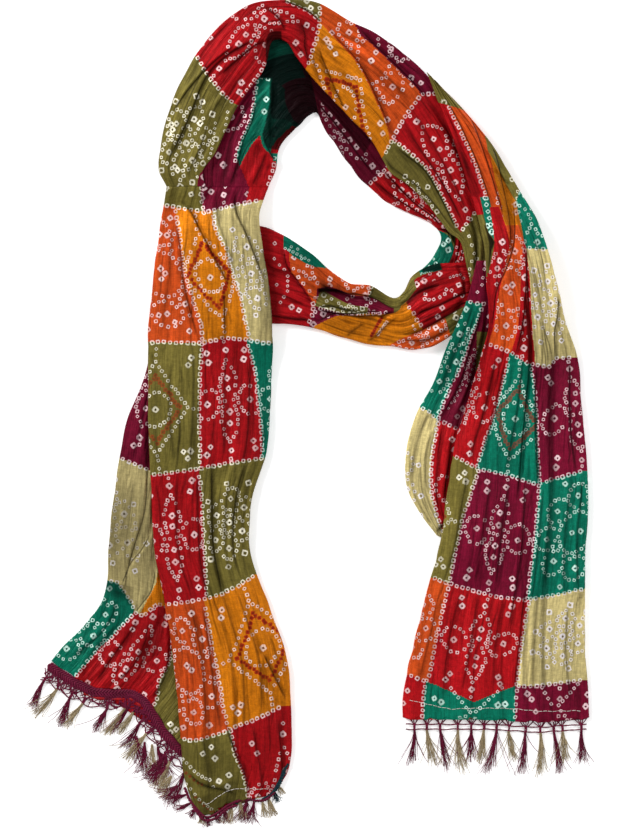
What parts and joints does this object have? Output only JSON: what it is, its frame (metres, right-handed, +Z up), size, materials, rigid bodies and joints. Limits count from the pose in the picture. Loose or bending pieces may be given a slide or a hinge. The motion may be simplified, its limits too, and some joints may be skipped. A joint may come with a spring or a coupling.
{
  "type": "bandhani dupatta stole laid flat in a loop",
  "caption": "Long crinkled silk stole in a tie-dye patchwork pattern, wound into a neck loop and laid flat with both fringed ends down.",
  "frame": {"origin": "on the floor under the middle of the whole stole's box", "axes": "+X to the right and +Y towards the top of the neck loop as the stole is looked down on, +Z up from the surface it lies on"},
  "size_m": [0.4749, 0.7009, 0.0332],
  "materials": {
    "printed_silk": "crinkled silk with a soft sheen and a tie-dye pattern of dotted cells",
    "hem_thread": "maroon and beige twisted thread"
  },
  "bodies": {
    "root": {"inner_arch": "printed_silk", "lower_loop": "printed_silk", "arch": "printed_silk", "right_end_under": "printed_silk", "right_end_front": "printed_silk", "left_end_under": "printed_silk", "left_end_front": "printed_silk", "left_under_band": "hem_thread", "left_under_fringe": "hem_thread", "left_front_fringe": "hem_thread", "right_end_fringe": "hem_thread"}
  },
  "joints": []
}
